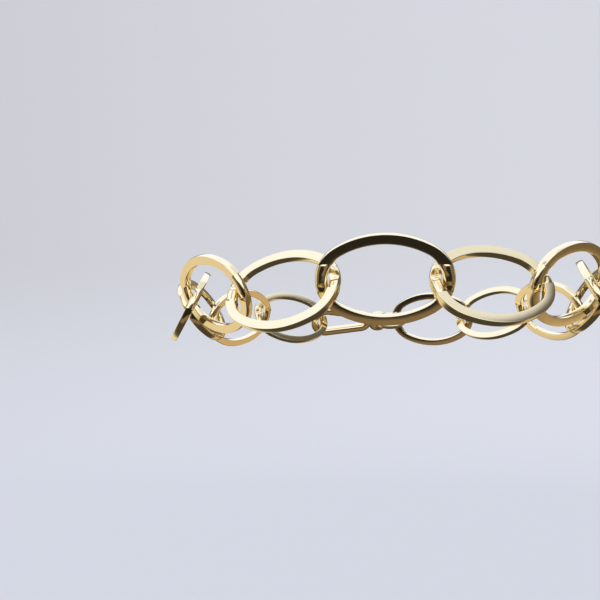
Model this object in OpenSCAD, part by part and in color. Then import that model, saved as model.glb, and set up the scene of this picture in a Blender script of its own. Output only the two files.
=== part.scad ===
// Link bracelet: closed oval links of flat wire in a loop, joined at the back by a jump ring and a clasp.
// +Z points up the arm, the middle link of the front faces -Y, and the origin is the centre of the hollow
// that the wrist fills. Links lean by turns with their top outwards and inwards, as they do when worn.

/* [Chain] */
// Number of oval links
links = 14; // [11:1:20]
// How far each link leans from upright, in degrees
lean = 27; // [22:1:36]
// How far neighbouring links sit above and below the middle of the loop
lift = 0.25; // [0:0.05:0.5]
// Free gap where one piece passes through another
clearance = 0.15; // [0.1:0.05:0.4]

/* [Link] */
// Length of a link over all
link_len = 14; // [12:0.5:20]
// Width of a link over all
link_wid = 9.9; // [9:0.1:12]
// Outer radius of a link's round ends
end_r = 4.2; // [3.6:0.1:4.3]
// Width of the wire's flat faces
wire_w = 1.1; // [0.8:0.05:1.4]
// Thickness of the wire, from one flat face to the other
wire_t = 0.85; // [0.5:0.05:1]
// Rounding of the wire's edges
edge_r = 0.1; // [0.05:0.01:0.2]

/* [Jump ring] */
// Outer diameter of the ring
ring_d = 5.5; // [5.2:0.1:7]
// Diameter of its round wire
ring_wire = 1; // [0.8:0.05:1.2]

/* [Clasp] */
// Length of the clasp over all
clasp_len = 14; // [12.5:0.5:18]
// Width of its hook
clasp_wid = 5.5; // [5.2:0.1:7]
// Width of the hook's rim, seen from the front
rim_w = 1.3; // [1:0.05:1.5]
// Thickness of the hook
hook_t = 1.5; // [1.3:0.1:1.8]
// Rounding of the clasp's edges
clasp_edge_r = 0.4; // [0.1:0.05:0.4]
// Inner radius of the hook's narrow end
throat_r = 0.6; // [0.4:0.05:0.9]
// Thickness of the eye, less than the hook's
eye_t = 1.2; // [0.9:0.05:1.25]
// Width of the eye's rim
eye_rim = 0.9; // [0.85:0.05:1.2]
// Room round the jump ring's wire in the eye
eye_play = 0.45; // [0.35:0.05:0.7]
// How far the eye's rim runs into the hook's
neck_overlap = 0.6; // [0.4:0.05:0.8]

/* [Hidden] */
$fn = 64;
GOLD = "#dcbf72";

// Angle at which the clasp crosses the first link
CLASP_CROSSING = 60;
// How far an arc of a link runs past the line where it is cut off, in degrees
OVERRUN = 2;
// The hook's legs are this much thinner than its bends, and run this far into them
LEG_STEP = 0.02;
LEG_RUN_IN = 0.1;

// Links that have turned a little as they lie: number, turn in their own plane, extra lean, in degrees
ASKEW = [
    [6, 0.5, -1],
    [7, -1, 0.5],
    [8, 6, 3],
];

function link_name(i) = str("link_", i < 10 ? "0" : "", i);

// Link, as four arcs of the wire's middle line: two round ends and two long sides, tangent where they meet
half_len = (link_len - wire_w) / 2;
half_wid = (link_wid - wire_w) / 2;
end_mid_r = end_r - wire_w / 2;
end_x = half_len - end_mid_r;
side_mid_r = (end_x * end_x + half_wid * half_wid - end_mid_r * end_mid_r) / (2 * (half_wid - end_mid_r));
end_angle = atan2(side_mid_r - half_wid, end_x);

// Jump ring and clasp
ring_in_r = ring_d / 2 - ring_wire;
hook_mid_r = (clasp_wid - rim_w) / 2;
hook_in_r = hook_mid_r - rim_w / 2;
hook_x = clasp_len / 2 - clasp_wid / 2;
throat_mid_r = throat_r + rim_w / 2;
eye_hole_r = ring_wire / 2 + eye_play;
eye_x = eye_hole_r + eye_rim - clasp_len / 2;
throat_x = eye_x + eye_hole_r + eye_rim - neck_overlap + rim_w + throat_r;

// Two flat wires that cross at an angle touch first at the corners of their crossing, where their round
// inner walls have already curved away: reach() is how far along one wire that corner lies, and sag() is
// how much its wall has curved there.
function reach(t, other_t, angle) = (other_t + t * cos(angle)) / sin(angle) / 2;
function sag(r, s) = r - sqrt(max(0, r * r - s * s));
link_in_r = end_mid_r - wire_w / 2;
link_slack = clearance + 2 * sag(link_in_r, reach(wire_t, wire_t, 2 * lean));
ring_slack = clearance + sag(ring_in_r, wire_t / 2) + sag(link_in_r, ring_wire / 2);
eye_slack = clearance + sag(ring_in_r, eye_t / 2);
hook_slack = clearance + sag(link_in_r, reach(wire_t, hook_t, CLASP_CROSSING))
    + sag(hook_in_r, reach(hook_t, wire_t, CLASP_CROSSING));

// The pieces in order round the loop: links, jump ring, clasp. INNER is each one's length inside its rims,
// and SLACK the play where it meets the piece before it. The points where pieces meet lie on one circle.
INNER = concat([for (i = [1:links]) link_len - 2 * wire_w], [2 * ring_in_r, clasp_len - rim_w - eye_rim]);
SLACK = concat([hook_slack], [for (i = [2:links]) link_slack], [ring_slack, eye_slack]);
pieces = links + 2;
SPAN = [for (k = [0:pieces - 1]) INNER[k] - (SLACK[k] + SLACK[(k + 1) % pieces]) / 2];

// Radius of that circle, found by halving: the spans must turn through 360 degrees as its chords
function total(v, n) = n == 0 ? 0 : v[n - 1] + total(v, n - 1);
function turns(r) = [for (s = SPAN) 2 * asin(s / 2 / r)];
function radius_between(low, high, tries) =
    tries == 0 ? (low + high) / 2 :
    total(turns((low + high) / 2), pieces) > 360 ? radius_between((low + high) / 2, high, tries - 1) :
    radius_between(low, (low + high) / 2, tries - 1);
least_r = total(SPAN, pieces) / (2 * PI);
loop_r = radius_between(least_r, 1.2 * least_r, 40);
TURN = turns(loop_r);
front = floor(links / 2);

function middle_angle(k) = total(TURN, k) + TURN[k] / 2 - total(TURN, front - 1) - TURN[front - 1] / 2;
function side_of(i) = i % 2 == 1 ? 1 : -1;
function askew(i, column) = total([for (row = ASKEW) row[0] == i ? row[column] : 0], len(ASKEW));
function link_lean(i) = side_of(i) * (lean + askew(i, 2));
clasp_lean = lean - CLASP_CROSSING;

// Places what is drawn flat, its length along X and its face up, as piece k of the loop: its length along
// the loop, its face outwards, leaning with its top outwards by an angle and raised by a height
module on_loop(k, out_lean, height) {
    rotate([0, 0, middle_angle(k)])
        translate([(SLACK[(k + 1) % pieces] - SLACK[k]) / 4, -loop_r * cos(TURN[k] / 2), height])
            rotate([90 + out_lean, 0, 0])
                children();
}

// Cross-section of a wire, lying across X
module wire_section(w, t, r) {
    square([w - 2 * r, t], center = true);
    square([w, t - 2 * r], center = true);
    for (x = [-1, 1], y = [-1, 1])
        translate([x * (w / 2 - r), y * (t / 2 - r)])
            circle(r);
}

// Wire that starts at the origin along +Y and bends towards -X, at a radius and through an angle
module bent_wire(mid_r, angle, w, t, r) {
    translate([-mid_r, 0, 0])
        rotate_extrude(angle = angle)
            translate([mid_r, 0])
                wire_section(w, t, r);
}

// A quarter of the oval: an end arc and a side arc leave the point where they are tangent, both run a little
// past the quarter's edges, and are cut off there
module quarter_link() {
    intersection() {
        translate([0, 0, -wire_t])
            cube([link_len, link_wid, 2 * wire_t]);
        translate([end_x, 0, 0])
            rotate([0, 0, end_angle])
                translate([end_mid_r, 0, 0]) {
                    mirror([0, 1, 0])
                        bent_wire(end_mid_r, end_angle + OVERRUN, wire_w, wire_t, edge_r);
                    bent_wire(side_mid_r, 90 - end_angle + OVERRUN, wire_w, wire_t, edge_r);
                }
    }
}

module oval_link() {
    for (x = [0, 1], y = [0, 1])
        mirror([x, 0, 0])
            mirror([0, y, 0])
                quarter_link();
}

module link(i) {
    color(GOLD)
        on_loop(i - 1, link_lean(i), side_of(i) * lift)
            rotate([0, 0, askew(i, 1)])
                oval_link();
}

module jump_ring() {
    color(GOLD)
        on_loop(links, (link_lean(links) + clasp_lean) / 2, (side_of(links) - 1) * lift / 2)
            rotate([90, 0, 0])
                rotate_extrude()
                    translate([ring_in_r + ring_wire / 2, 0])
                        circle(ring_wire / 2);
}

// One bend of the hook, the same on both sides of the X axis
module hook_bend(mid_r, half_angle) {
    rotate([0, 0, -half_angle])
        rotate_extrude(angle = 2 * half_angle)
            translate([mid_r, 0])
                wire_section(rim_w, hook_t, clasp_edge_r);
}

// One straight leg of the hook, running a little way into the bends at its ends
module hook_leg(taper) {
    translate([throat_x - throat_mid_r * sin(taper), throat_mid_r * cos(taper), 0])
        rotate([0, 0, taper])
            rotate([90, 0, 90])
                translate([0, 0, -LEG_RUN_IN])
                    linear_extrude((hook_x - throat_x) * cos(taper) + 2 * LEG_RUN_IN)
                        wire_section(rim_w - LEG_STEP, hook_t - LEG_STEP, clasp_edge_r);
}

// Pear-shaped closed hook with a round eye at its narrow end, in one piece
module clasp() {
    taper = asin((hook_mid_r - throat_mid_r) / (hook_x - throat_x));
    color(GOLD)
        on_loop(links + 1, clasp_lean, -lift) {
            translate([hook_x, 0, 0])
                hook_bend(hook_mid_r, 90 + taper);
            translate([throat_x, 0, 0])
                rotate([0, 0, 180])
                    hook_bend(throat_mid_r, 90 - taper);
            hook_leg(taper);
            mirror([0, 1, 0])
                hook_leg(taper);
            translate([eye_x, 0, 0])
                rotate_extrude()
                    translate([eye_hole_r + eye_rim / 2, 0])
                        wire_section(eye_rim, eye_t, clasp_edge_r);
        }
}

for (i = [1:links])
    link(i);
jump_ring();
clasp();
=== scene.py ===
import math

import bpy
import numpy as np
from mathutils import Matrix, Vector


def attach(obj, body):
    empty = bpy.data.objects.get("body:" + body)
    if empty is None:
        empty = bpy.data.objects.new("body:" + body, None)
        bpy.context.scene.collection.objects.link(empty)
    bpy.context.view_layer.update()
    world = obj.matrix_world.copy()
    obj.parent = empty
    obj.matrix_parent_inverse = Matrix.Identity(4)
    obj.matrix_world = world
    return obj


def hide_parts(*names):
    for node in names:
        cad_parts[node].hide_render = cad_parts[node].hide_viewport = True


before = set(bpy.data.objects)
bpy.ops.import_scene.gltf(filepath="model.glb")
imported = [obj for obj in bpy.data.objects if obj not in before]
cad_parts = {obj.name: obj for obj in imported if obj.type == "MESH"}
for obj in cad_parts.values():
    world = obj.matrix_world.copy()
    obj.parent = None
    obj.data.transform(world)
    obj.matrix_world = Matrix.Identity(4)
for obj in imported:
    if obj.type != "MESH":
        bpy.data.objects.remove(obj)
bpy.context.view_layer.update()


# Oval links: fourteen soldered rings of gold-plated wire, pressed flat after the chain was linked, so the
# long faces mirror. Where a neighbour lay across it, each round end kept its rounder and thicker wire, as a
# pad with a short step at each end and a mark that the neighbour wore. Each link hangs in its neighbours.
MM = 0.001
LINK_NODES = sorted(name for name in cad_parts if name.startswith("link_"))
WIRE_WIDTH = 1.1 * MM
END_RADIUS = 4.2 * MM
EDGE_RADIUS = 0.05 * MM
SIDE_TILT = math.radians(12)
FACE_CROWN = 0.007 * MM
# How much wider the ends are on the inside, and a pad's step along the wire and rise above the face
END_INWARD = 0.10 * MM
PAD_STEP = 0.11 * MM
PAD_RISE = 0.13 * MM
PAD_SQUARENESS = 2.3
DENT_DEPTH = 0.002 * MM
DENT_LENGTH = 0.8 * MM
# The mark lies below a pad's upper step and fades out towards the tip of the end. Dents are deeper in it.
MARK_DEPTH = 0.34 * MM
MARK_FROM_STEP = 1.0 * MM
MARK_WIDTH = 0.80 * MM
MARK_FADE = 0.5 * MM
MARK_DENTS = 0.030 * MM
MARK_ROUNDING = 0.02 * MM
TWIST = math.radians(0.9)
FACE_POINTS, EDGE_POINTS, WALL_POINTS = 8, 4, 6
PAD_ROWS, BEND_ROWS, SIDE_ROWS = 12, 20, 26
# A second row of points lies this far from each edge of a step, which keeps the edge crisp when shaded
HOLD = 0.01 * MM

# How far a pad reaches above, below and beyond the end, in millimetres, and the pads that differ
PAD_REACH = (1.7, 0.9, 0.10)
OWN_REACH = {
    ("link_06", "right"): (2.1, 0.3, 0.0),
    ("link_07", "left"): (1.8, 1.0, 0.10),
    ("link_07", "right"): (1.6, 1.0, 0.10),
    ("link_08", "left"): (2.45, 0.55, 0.0),
    ("link_08", "right"): (1.1, 0.5, 0.10),
}


def seat_of(node):
    """Where a flat CAD node sits (X along it, Y across it, Z out of its face) and its half sizes."""
    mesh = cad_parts[node].data
    mesh.calc_loop_triangles()
    points = np.array([v.co for v in mesh.vertices])
    corners = points[[t.vertices[:] for t in mesh.loop_triangles]]
    a, b, c = corners.transpose(1, 0, 2)
    area = np.linalg.norm(np.cross(b - a, c - a), axis=1) / 2
    total = a + b + c
    centre = (total * area[:, None]).sum(0) / 3 / area.sum()
    spread = sum(np.einsum("n,ni,nj->ij", area, p, p) for p in (a, b, c, total)) / 12 / area.sum()
    axes = np.linalg.eigh(spread - np.outer(centre, centre))[1]
    outward = Vector((centre[0], centre[1], 0)).normalized()
    onward = Vector((-outward.y, outward.x, 0))
    face = Vector(axes[:, 0])
    along = Vector(axes[:, 2])
    face = face if face.dot(outward) > 0 else -face
    along = along if along.dot(onward) > 0 else -along
    turn = Matrix((along, face.cross(along), face)).transposed()
    reach = (points - centre) @ np.array(turn)
    return Matrix.Translation(centre) @ turn.to_4x4(), np.abs(reach).max(0)


def whole_section(outer, inner):
    """A section of wire from its two outer and inner quarters, which start at the middle of the face."""
    return np.concatenate([
        outer,
        outer[-2::-1] * (1, -1),
        inner[1:] * (-1, -1),
        inner[-2:0:-1] * (-1, 1),
    ])


def pressed_quarter(half_width, half_thick):
    """A quarter of a pressed section: a slightly domed face, a round edge and a side that bulges."""
    edge_z = half_thick - FACE_CROWN - EDGE_RADIUS
    side_z = edge_z + EDGE_RADIUS * math.sin(SIDE_TILT)
    bulge = math.tan(SIDE_TILT) / 2 / side_z
    edge_x = half_width - bulge * side_z**2 - EDGE_RADIUS * math.cos(SIDE_TILT)
    points = []
    for i in range(FACE_POINTS):
        share = i / FACE_POINTS
        points.append((edge_x * share, half_thick - FACE_CROWN * share**2))
    for i in range(EDGE_POINTS):
        angle = math.pi / 2 + (SIDE_TILT - math.pi / 2) * i / EDGE_POINTS
        points.append((edge_x + EDGE_RADIUS * math.cos(angle), edge_z + EDGE_RADIUS * math.sin(angle)))
    for i in range(WALL_POINTS + 1):
        z = side_z * (1 - i / WALL_POINTS)
        points.append((half_width - bulge * z**2, z))
    return np.array(points)


def pad_section(pressed, outer, inner, half_thick):
    """A squarish oval section of wire that wasn't pressed, with its points in line with a pressed one's."""
    turn = np.arctan2(pressed[:, 1], pressed[:, 0])
    half_width = np.where(pressed[:, 0] > 0, outer, inner)
    reach = (np.abs(np.cos(turn) / half_width)**PAD_SQUARENESS
             + np.abs(np.sin(turn) / half_thick)**PAD_SQUARENESS)**(-1 / PAD_SQUARENESS)
    return np.column_stack([reach * np.cos(turn), reach * np.sin(turn)])


def dented(section, level, phase, marked_side, mark_level):
    """A pad's section, with slight dents, and worn flat on the side where the neighbour crosses it. The
    dents are three waves that wind round the wire at different pitches."""
    around = np.arctan2(section[:, 1], section[:, 0])
    waves = (np.sin(2 * around + level / DENT_LENGTH * 4 + phase[0])
             + np.sin(3 * around - level / DENT_LENGTH * 6 + phase[1])
             + np.sin(5 * around + level / DENT_LENGTH * 3 + phase[2]) / 2)
    mark = math.exp(-((level - mark_level) / MARK_WIDTH)**2) * (1 - math.exp(-(level / MARK_FADE)**2))
    crossed = mark * (marked_side * np.sin(around)).clip(0)
    depth = (DENT_DEPTH + MARK_DENTS * crossed) * waves
    flat = section[:, 1].max() - MARK_DEPTH * mark
    raised = marked_side * section[:, 1]
    worn = -MARK_ROUNDING * np.logaddexp(-raised / MARK_ROUNDING, -flat / MARK_ROUNDING)
    height = (1 - mark) * section[:, 1] + mark * marked_side * worn
    outward = np.column_stack([np.cos(around), np.sin(around)])
    return np.column_stack([section[:, 0], height]) - depth[:, None] * outward


def link_rings(half, left_reach, right_reach, crossed_side, chance):
    """Rings of points round the wire, along the four arcs of one oval link that lies flat. Y is up when
    the link hangs, and a pad reaches further up than down."""
    half_long, half_wide, half_thick = half
    half_wire = WIRE_WIDTH / 2
    end_mid = END_RADIUS - half_wire
    end_x = half_long - END_RADIUS
    rise = half_wide - half_wire
    side_mid = (end_x**2 + rise**2 - end_mid**2) / 2 / (rise - end_mid)
    joint = math.atan2(side_mid - rise, end_x)

    def pressed(outward, growth):
        return whole_section(pressed_quarter(half_wire + outward * growth, half_thick),
                             pressed_quarter(half_wire + END_INWARD * growth, half_thick))

    def ring(section, radius, angle, middle):
        radius = radius + section[:, 0]
        return np.column_stack([
            middle[0] + radius * np.cos(angle), middle[1] + radius * np.sin(angle), section[:, 1]])

    def level_angle(section, level):
        return np.arcsin(level / (end_mid + section[:, 0]))

    def quarter(reach, outward, phase, marked_side):
        """From the tip of the +X end to the middle of the +Y side, with a pad that reaches so far."""
        pad = pad_section(pressed(outward, 1), half_wire + outward, half_wire + END_INWARD,
                          half_thick + PAD_RISE)
        rings = []
        for level in [reach * i / PAD_ROWS for i in range(PAD_ROWS)] + [reach - HOLD, reach]:
            section = dented(pad, level, phase, marked_side, reach - MARK_FROM_STEP)
            rings.append(ring(section, end_mid, level_angle(section, level), (end_x, 0)))
        start = level_angle(pressed(outward, 1), reach + PAD_STEP)
        for share in [0, HOLD / end_mid] + [i / BEND_ROWS for i in range(1, BEND_ROWS)]:
            section = pressed(outward, (1 - share)**2)
            rings.append(ring(section, end_mid, start + (joint - start) * share, (end_x, 0)))
        for i in range(SIDE_ROWS + 1):
            angle = joint + (math.pi / 2 - joint) * i / SIDE_ROWS
            rings.append(ring(pressed(outward, 0), side_mid, angle, (0, rise - side_mid)))
        return np.array(rings)

    left_dents, right_dents = chance.uniform(0, 2 * math.pi, (2, 3))
    left_above, left_below, left_beyond = np.array(left_reach) * MM
    right_above, right_below, right_beyond = np.array(right_reach) * MM
    return np.concatenate([
        quarter(right_above, right_beyond, right_dents, crossed_side),
        quarter(left_above, left_beyond, left_dents, crossed_side)[-2::-1] * (-1, 1, 1),
        quarter(left_below, left_beyond, left_dents, -crossed_side)[1:] * (-1, -1, 1),
        quarter(right_below, right_beyond, right_dents, -crossed_side)[-2:0:-1] * (1, -1, 1),
    ])


def twisted(rings, chance):
    """The rings, each turned a little about the wire, as no pressed link is quite flat."""
    count = len(rings)
    place = np.arange(count) / count * 2 * math.pi
    turn = TWIST * (np.sin(place + chance.uniform(0, 6)) + np.sin(2 * place + chance.uniform(0, 6))) / 2
    middle = rings.mean(1, keepdims=True)
    outward = rings[:, len(rings[0]) // 4] - middle[:, 0]
    outward[:, 2] = 0
    outward /= np.linalg.norm(outward, axis=1, keepdims=True)
    offset = ((rings - middle) * outward[:, None]).sum(2)
    height = rings[:, :, 2].copy()
    rings = rings - (height * turn[:, None])[:, :, None] * outward[:, None]
    rings[:, :, 2] += offset * turn[:, None]
    return rings


def tube_mesh(name, rings):
    """A closed tube through the rings, with a UV map in metres: U along the wire, V round it."""
    count, points = rings.shape[:2]
    faces, spots = [], []
    steps = np.linalg.norm(np.roll(rings.mean(1), -1, 0) - rings.mean(1), axis=1)
    along = np.concatenate([[0], np.cumsum(steps)])
    sides = np.linalg.norm(np.roll(rings[0], -1, 0) - rings[0], axis=1)
    around = np.concatenate([[0], np.cumsum(sides)])
    for i in range(count):
        for j in range(points):
            corner = [(i, j), (i + 1, j), (i + 1, j + 1), (i, j + 1)]
            faces.append([(a % count) * points + b % points for a, b in corner])
            spots += [(along[a], around[b]) for a, b in corner]
    mesh = bpy.data.meshes.new(name)
    mesh.from_pydata(rings.reshape(-1, 3).tolist(), [], faces)
    mesh.uv_layers.new(name="wire").data.foreach_set("uv", np.array(spots, np.float32).ravel())
    mesh.shade_smooth()
    return mesh


def new_node(tree, kind, inputs=None, **settings):
    """A node of that kind, with its settings, and with its inputs set or linked by name or number."""
    made = tree.nodes.new(kind)
    for name, value in settings.items():
        setattr(made, name, value)
    for name, value in (inputs or {}).items():
        if isinstance(value, bpy.types.NodeSocket):
            tree.links.new(value, made.inputs[name])
        else:
            made.inputs[name].default_value = value
    return made


# Fine polishing lines run along the wire: their density along, round and through it, and that of wiped
# patches and of changes in tone, all per metre
LINE_DENSITY = (900.0, 22000.0, 9000.0)
WIPE_DENSITY = 900.0
TONE_DENSITY = 160.0


def polish_group():
    """Marks that polishing leaves: soft waves where the wheel pressed, and fine lines where it ran."""
    tree = bpy.data.node_groups.new("polish", "ShaderNodeTree")
    sockets = [("Vector", "INPUT", "NodeSocketVector"), ("Wave size", "INPUT", "NodeSocketFloat"),
               ("Line depth", "INPUT", "NodeSocketFloat"), ("Shine", "INPUT", "NodeSocketFloat"),
               ("Haze", "INPUT", "NodeSocketFloat"), ("Height", "OUTPUT", "NodeSocketFloat"),
               ("Roughness", "OUTPUT", "NodeSocketFloat"), ("Tone", "OUTPUT", "NodeSocketFloat")]
    for name, direction, kind in sockets:
        tree.interface.new_socket(name, in_out=direction, socket_type=kind)
    given = tree.nodes.new("NodeGroupInput").outputs
    result = tree.nodes.new("NodeGroupOutput").inputs
    place = new_node(tree, "ShaderNodeTexCoord").outputs["Object"]
    scale = new_node(tree, "ShaderNodeMath", {0: 1.0, 1: given["Wave size"]}, operation="DIVIDE")
    wave = new_node(tree, "ShaderNodeTexNoise", {"Vector": place, "Scale": scale.outputs[0], "Detail": 1.0})
    stretch = new_node(tree, "ShaderNodeVectorMath", {0: given["Vector"], 1: LINE_DENSITY},
                       operation="MULTIPLY")
    line = new_node(tree, "ShaderNodeTexNoise", {
        "Vector": stretch.outputs[0], "Scale": 1.0, "Detail": 3.0})
    deep = new_node(tree, "ShaderNodeMath", {0: line.outputs["Fac"], 1: given["Line depth"]},
                    operation="MULTIPLY")
    height = new_node(tree, "ShaderNodeMath", {0: wave.outputs["Fac"], 1: deep.outputs[0]}, operation="ADD")
    wiped = new_node(tree, "ShaderNodeTexNoise", {"Vector": place, "Scale": WIPE_DENSITY, "Detail": 4.0})
    rough = new_node(tree, "ShaderNodeMapRange", {
        "Value": wiped.outputs["Fac"], "From Min": 0.35, "From Max": 0.7,
        "To Min": given["Shine"], "To Max": given["Haze"]})
    tone = new_node(tree, "ShaderNodeTexNoise", {"Vector": place, "Scale": TONE_DENSITY, "Detail": 2.0})
    tree.links.new(height.outputs[0], result["Height"])
    tree.links.new(rough.outputs["Result"], result["Roughness"])
    tree.links.new(tone.outputs["Fac"], result["Tone"])
    return tree


POLISH = polish_group()
PALE_GOLD = (0.93, 0.81, 0.54, 1)
DEEP_GOLD = (0.91, 0.77, 0.47, 1)


def gold(name, uv, wave_size, wave_depth, line_depth, shine, haze):
    """Polished yellow gold. Its fine lines follow the named UV map, or the piece where it has none."""
    material = bpy.data.materials.new(name)
    material.use_nodes = True
    tree = material.node_tree
    surface = tree.nodes["Principled BSDF"]
    surface.inputs["Metallic"].default_value = 1
    if uv:
        vector = new_node(tree, "ShaderNodeUVMap", uv_map=uv).outputs[0]
    else:
        vector = new_node(tree, "ShaderNodeTexCoord").outputs["Object"]
    marks = new_node(tree, "ShaderNodeGroup", node_tree=POLISH)
    for socket, value in (("Wave size", wave_size), ("Line depth", line_depth), ("Shine", shine),
                          ("Haze", haze)):
        marks.inputs[socket].default_value = value
    tree.links.new(vector, marks.inputs["Vector"])
    colour = new_node(tree, "ShaderNodeMix", {
        "Factor": marks.outputs["Tone"], "A": PALE_GOLD, "B": DEEP_GOLD}, data_type="RGBA")
    bump = new_node(tree, "ShaderNodeBump", {
        "Strength": 1.0, "Distance": wave_depth, "Height": marks.outputs["Height"]})
    tree.links.new(colour.outputs["Result"], surface.inputs["Base Color"])
    tree.links.new(marks.outputs["Roughness"], surface.inputs["Roughness"])
    tree.links.new(bump.outputs["Normal"], surface.inputs["Normal"])
    return material


pressed_gold = gold("pressed_gold", uv="wire", wave_size=1.6 * MM, wave_depth=0.004 * MM, line_depth=0.03,
                    shine=0.05, haze=0.09)
for number, node in enumerate(LINK_NODES):
    seat, half = seat_of(node)
    chance = np.random.default_rng(number)
    reaches = [OWN_REACH.get((node, end), PAD_REACH) for end in ("left", "right")]
    crossed_side = 1 if seat.col[2].z > 0 else -1
    mesh = tube_mesh(f"pressed_{node}", twisted(link_rings(half, *reaches, crossed_side, chance), chance))
    mesh.transform(seat)
    mesh.materials.append(pressed_gold)
    link = bpy.data.objects.new(f"pressed_{node}", mesh)
    bpy.context.scene.collection.objects.link(link)
    link.modifiers.new("even_shading", "WEIGHTED_NORMAL").keep_sharp = False
    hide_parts(node)
    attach(link, "root")


# Jump ring: a small ring of drawn, gold-plated round wire, opened and closed with pliers, that joins the
# last link to the clasp's eye. Its wire is left round and bright.
RING_ROWS, RING_POINTS = 144, 40


def ring_rings(half):
    """Rings of points round the wire of a round ring that lies flat."""
    wire = half[2]
    middle = half[0] - wire
    turn = np.linspace(0, 2 * math.pi, RING_ROWS, endpoint=False)[:, None]
    around = np.linspace(math.pi / 2, -3 * math.pi / 2, RING_POINTS, endpoint=False)[None, :]
    radius = middle + wire * np.cos(around)
    return np.stack([radius * np.cos(turn), radius * np.sin(turn), wire * np.sin(around) + 0 * turn], 2)


drawn_gold = gold("drawn_gold", uv="wire", wave_size=1.2 * MM, wave_depth=0.003 * MM, line_depth=0.05,
                  shine=0.06, haze=0.11)
seat, half = seat_of("jump_ring")
mesh = tube_mesh("drawn_ring", ring_rings(half))
mesh.transform(seat)
mesh.materials.append(drawn_gold)
drawn_ring = bpy.data.objects.new("drawn_ring", mesh)
bpy.context.scene.collection.objects.link(drawn_ring)
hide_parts("jump_ring")
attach(drawn_ring, "root")


# Clasp: a plain closed hook with an eye, cast in one piece, tumbled, so that its edges and the crotches
# beside the eye are soft, and gold-plated. It passes through the first link, and the ring through its eye.
CAST_GRAIN = 0.05 * MM
TUMBLING = 6
cast_gold = gold("cast_gold", uv=None, wave_size=2.2 * MM, wave_depth=0.006 * MM, line_depth=0.05,
                 shine=0.08, haze=0.14)
cast_clasp = bpy.data.objects.new("cast_clasp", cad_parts["clasp"].data.copy())
bpy.context.scene.collection.objects.link(cast_clasp)
cast_clasp.data.materials.clear()
cast_clasp.data.materials.append(cast_gold)
casting = cast_clasp.modifiers.new("casting", "REMESH")
casting.mode = "VOXEL"
casting.voxel_size = CAST_GRAIN
casting.use_smooth_shade = True
tumbling = cast_clasp.modifiers.new("tumbling", "SMOOTH")
tumbling.iterations = TUMBLING
bpy.context.view_layer.update()
shape = cast_clasp.evaluated_get(bpy.context.evaluated_depsgraph_get())
finished = bpy.data.meshes.new_from_object(shape)
cast_clasp.modifiers.clear()
cast_clasp.data = finished
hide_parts("clasp")
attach(cast_clasp, "root")


# Floor: a plain pale sheet that sweeps up all round like a dish, so that no edge shows behind the
# bracelet from any side. It is seen but not mirrored.
FLOOR_DROP = 75 * MM
FLAT_REACH = 300 * MM
SWEEP_RADIUS = 500 * MM
SLOPE = math.radians(50)
SLOPE_LENGTH = 2500 * MM
SWEEP_STEPS, BOWL_STEPS = 24, 128
profile = [(0.0, -FLOOR_DROP), (FLAT_REACH, -FLOOR_DROP)]
for i in range(1, SWEEP_STEPS + 1):
    angle = SLOPE * i / SWEEP_STEPS
    profile.append((FLAT_REACH + SWEEP_RADIUS * math.sin(angle),
                    -FLOOR_DROP + SWEEP_RADIUS * (1 - math.cos(angle))))
radius, height = profile[-1]
profile.append((radius + SLOPE_LENGTH * math.cos(SLOPE), height + SLOPE_LENGTH * math.sin(SLOPE)))
points, faces = [], []
for radius, height in profile[1:]:
    for i in range(BOWL_STEPS):
        angle = 2 * math.pi * i / BOWL_STEPS
        points.append((radius * math.cos(angle), radius * math.sin(angle), height))
for row in range(len(profile) - 2):
    for i in range(BOWL_STEPS):
        a, b = row * BOWL_STEPS + i, row * BOWL_STEPS + (i + 1) % BOWL_STEPS
        faces.append((b, a, a + BOWL_STEPS, b + BOWL_STEPS))
faces.append(tuple(range(BOWL_STEPS)))
mesh = bpy.data.meshes.new("floor")
mesh.from_pydata(points, [], faces)
mesh.shade_smooth()
floor = bpy.data.objects.new("floor", mesh)
bpy.context.scene.collection.objects.link(floor)
floor.visible_glossy = False
floor.visible_diffuse = False
floor.visible_shadow = False
paper = bpy.data.materials.new("paper")
paper.use_nodes = True
sheet = paper.node_tree.nodes["Principled BSDF"]
sheet.inputs["Base Color"].default_value = (0.72, 0.70, 0.66, 1)
sheet.inputs["Roughness"].default_value = 0.9
sheet.inputs["Specular IOR Level"].default_value = 0.1
mesh.materials.append(paper)


# Light: a bright tent overhead in a dim warm room, and soft cards round the bracelet that the polished
# faces mirror. Each card is a patch of the sky: the middle and half width of its azimuth, from the front
# towards +X, and of its elevation, in degrees, the softness of its edge, and its colour.
ROOM = (0.20, 0.17, 0.125)
CARDS = [
    ("tent", (0, 180), (90, 64), 14, (1.10, 1.20, 1.48)),
    ("right tent", (85, 45), (64, 16), 8, (0.90, 0.95, 1.08)),
    ("tent seam", (-43, 13), (53, 8), 7, (0.50, 0.58, 0.85)),
    ("right wall", (100, 30), (30, 19), 6, (0.13, 0.125, 0.12)),
    ("cream card", (-120, 42), (-8, 24), 12, (0.84, 0.73, 0.53)),
    ("tan card", (112, 38), (-16, 22), 12, (0.18, 0.135, 0.075)),
    ("gold card", (150, 36), (-26, 9), 4, (0.62, 0.46, 0.27)),
    ("floor", (0, 180), (-90, 50), 14, (0.070, 0.060, 0.040)),
    ("near card", (0, 60), (-57, 10.5), 6, (0.24, 0.175, 0.105)),
    ("window", (0, 60), (12, 14), 8, (1.5, 1.5, 1.6)),
    ("dark card", (0, 40), (-32.5, 17.3), 4, (0.022, 0.020, 0.018)),
]
world = bpy.data.worlds.new("tent")
bpy.context.scene.world = world
world.use_nodes = True
sky = world.node_tree
way = new_node(sky, "ShaderNodeSeparateXYZ", {0: new_node(sky, "ShaderNodeTexCoord").outputs["Generated"]})
height = new_node(sky, "ShaderNodeMath", {0: way.outputs["Z"]}, operation="ARCSINE")
ahead = new_node(sky, "ShaderNodeMath", {0: way.outputs["Y"], 1: -1.0}, operation="MULTIPLY")
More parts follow.
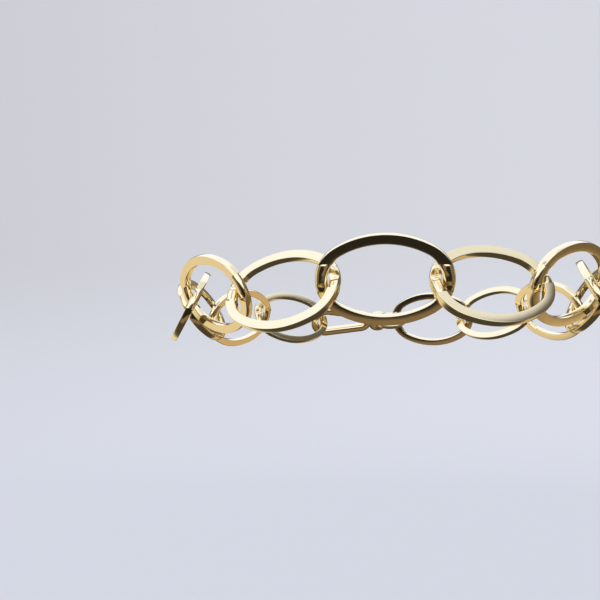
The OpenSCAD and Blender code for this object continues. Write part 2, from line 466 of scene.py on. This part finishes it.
bearing = new_node(sky, "ShaderNodeMath", {0: way.outputs["X"], 1: ahead.outputs[0]}, operation="ARCTAN2")


def within(angle, middle, half, soft):
    """1 where an angle lies within half of middle, and 0 further out, with a soft edge."""
    away = new_node(sky, "ShaderNodeMath", {0: angle, 1: math.radians(middle)}, operation="SUBTRACT")
    wrapped = new_node(sky, "ShaderNodeMath", {0: away.outputs[0], 1: math.pi, 2: -math.pi},
                       operation="WRAP")
    size = new_node(sky, "ShaderNodeMath", {0: wrapped.outputs[0]}, operation="ABSOLUTE")
    return new_node(sky, "ShaderNodeMapRange", {
        "Value": size.outputs[0], "From Min": math.radians(half - soft / 2),
        "From Max": math.radians(half + soft / 2), "To Min": 1.0, "To Max": 0.0},
        interpolation_type="SMOOTHSTEP").outputs["Result"]


light = new_node(sky, "ShaderNodeRGB").outputs[0]
light.default_value = (*ROOM, 1)
for _, (azimuth, half_azimuth), (elevation, half_elevation), soft, colour in CARDS:
    share = within(height.outputs[0], elevation, half_elevation, soft)
    if half_azimuth < 180:
        beside = within(bearing.outputs[0], azimuth, half_azimuth, 2 * soft)
        share = new_node(sky, "ShaderNodeMath", {0: share, 1: beside}, operation="MULTIPLY").outputs[0]
    light = new_node(sky, "ShaderNodeMix", {"Factor": share, "A": light, "B": (*colour, 1)},
                     data_type="RGBA").outputs["Result"]
sky.links.new(light, sky.nodes["Background"].inputs["Color"])


# Camera: close in front of the bracelet, a little to its right and a little below it.
CAMERA_AZIMUTH = math.radians(8.0)
CAMERA_ELEVATION = math.radians(-5.56)
CAMERA_ROLL = math.radians(0.73)
CAMERA_DISTANCE = 98.2 * MM
CAMERA_LEFT = 12.4 * MM
CAMERA_UP = 0.8 * MM
camera = bpy.data.objects.new("camera", bpy.data.cameras.new("camera"))
bpy.context.scene.collection.objects.link(camera)
camera.data.lens = 42.16
camera.data.clip_start = 5 * MM
camera.data.clip_end = 5
flat_back = math.cos(CAMERA_ELEVATION)
back = Vector((math.sin(CAMERA_AZIMUTH) * flat_back, -math.cos(CAMERA_AZIMUTH) * flat_back,
               math.sin(CAMERA_ELEVATION)))
level = (-back).cross(Vector((0, 0, 1))).normalized()
right = Matrix.Rotation(CAMERA_ROLL, 3, -back) @ level
up = back.cross(right)
camera.matrix_world = Matrix((right, up, back)).transposed().to_4x4()
camera.location = back * CAMERA_DISTANCE - right * CAMERA_LEFT + up * CAMERA_UP
bpy.context.scene.camera = camera
bpy.context.scene.view_settings.view_transform = "Standard"
